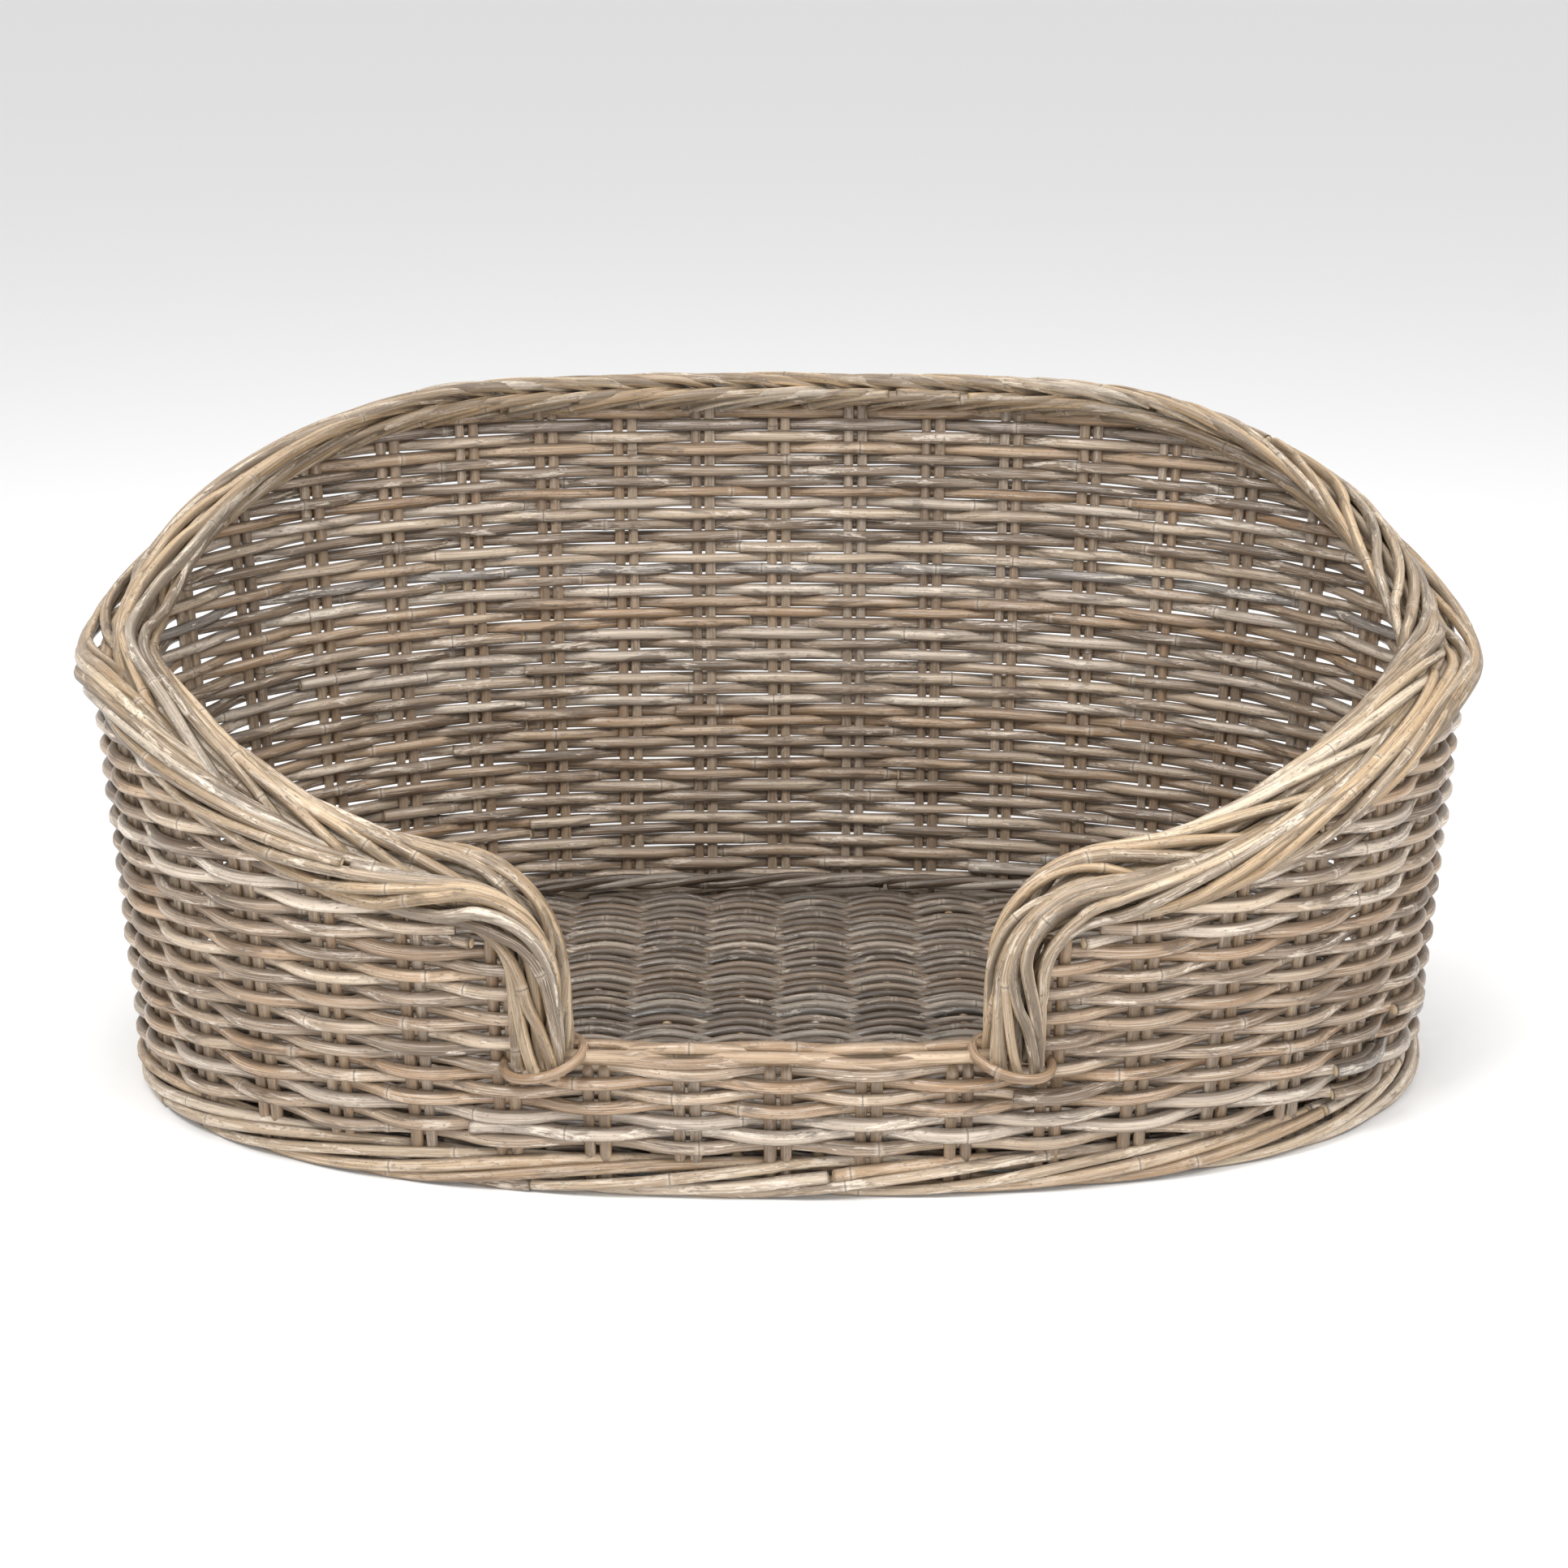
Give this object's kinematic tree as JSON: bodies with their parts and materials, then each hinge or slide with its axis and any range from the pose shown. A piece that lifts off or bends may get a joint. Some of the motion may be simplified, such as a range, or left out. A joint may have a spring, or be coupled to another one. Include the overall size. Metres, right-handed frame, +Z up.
{
  "type": "wicker pet bed basket",
  "caption": "Oval open-weave rattan pet basket with a high flared back, a thick rolled rim ending in two front arms, and a low front sill.",
  "frame": {"origin": "middle of the floor plan's bounding box, on the surface that the basket stands on", "axes": "+Z up, +X to the right along the longest side, -Y towards the front opening"},
  "size_m": [0.9814, 0.647, 0.4438],
  "materials": {
    "siding_cane": "grey-washed round cane, satin",
    "stake_cane": "glossy skinned cane",
    "rim_cane": "tan and grey cane, satin",
    "glossy_cane": "glossy brown cane",
    "floor_cane": "weathered grey-brown cane, satin",
    "foot_cane": "weathered tan cane, satin"
  },
  "bodies": {
    "root": {"base_sticks": "stake_cane", "base_weave": "floor_cane", "floor_wale": "floor_cane", "foot_border": "foot_cane", "rim_back_middle": "rim_cane", "rim_left_arm": "rim_cane", "rim_left_back": "rim_cane", "rim_left_back_corner": "rim_cane", "rim_left_back_side": "rim_cane", "rim_left_bend": "rim_cane", "rim_left_end": "rim_cane", "rim_left_front_corner": "rim_cane", "rim_left_front_side": "rim_cane", "rim_left_side": "rim_cane", "rim_right_arm": "rim_cane", "rim_right_back": "rim_cane", "rim_right_back_corner": "rim_cane", "rim_right_back_side": "rim_cane", "rim_right_bend": "rim_cane", "rim_right_end": "rim_cane", "rim_right_front_corner": "rim_cane", "rim_right_front_side": "rim_cane", "rim_right_side": "rim_cane", "siding_back_middle": "siding_cane", "siding_front_sill": "siding_cane", "siding_left_arm": "siding_cane", "siding_left_back": "siding_cane", "siding_left_back_corner": "siding_cane", "siding_left_back_side": "siding_cane", "siding_left_front_corner": "siding_cane", "siding_left_front_side": "siding_cane", "siding_left_side": "siding_cane", "siding_right_arm": "siding_cane", "siding_right_back": "siding_cane", "siding_right_back_corner": "siding_cane", "siding_right_back_side": "siding_cane", "siding_right_front_corner": "siding_cane", "siding_right_front_side": "siding_cane", "siding_right_side": "siding_cane", "sill_cane": "glossy_cane", "stakes_back_middle": "stake_cane", "stakes_front_sill": "stake_cane", "stakes_left_arm": "stake_cane", "stakes_left_back": "stake_cane", "stakes_left_back_corner": "stake_cane", "stakes_left_back_side": "stake_cane", "stakes_left_front_corner": "stake_cane", "stakes_left_front_side": "stake_cane", "stakes_left_side": "stake_cane", "stakes_right_arm": "stake_cane", "stakes_right_back": "stake_cane", "stakes_right_back_corner": "stake_cane", "stakes_right_back_side": "stake_cane", "stakes_right_front_corner": "stake_cane", "stakes_right_front_side": "stake_cane", "stakes_right_side": "stake_cane", "tie_ring_left": "glossy_cane", "tie_ring_right": "glossy_cane"}
  },
  "joints": []
}
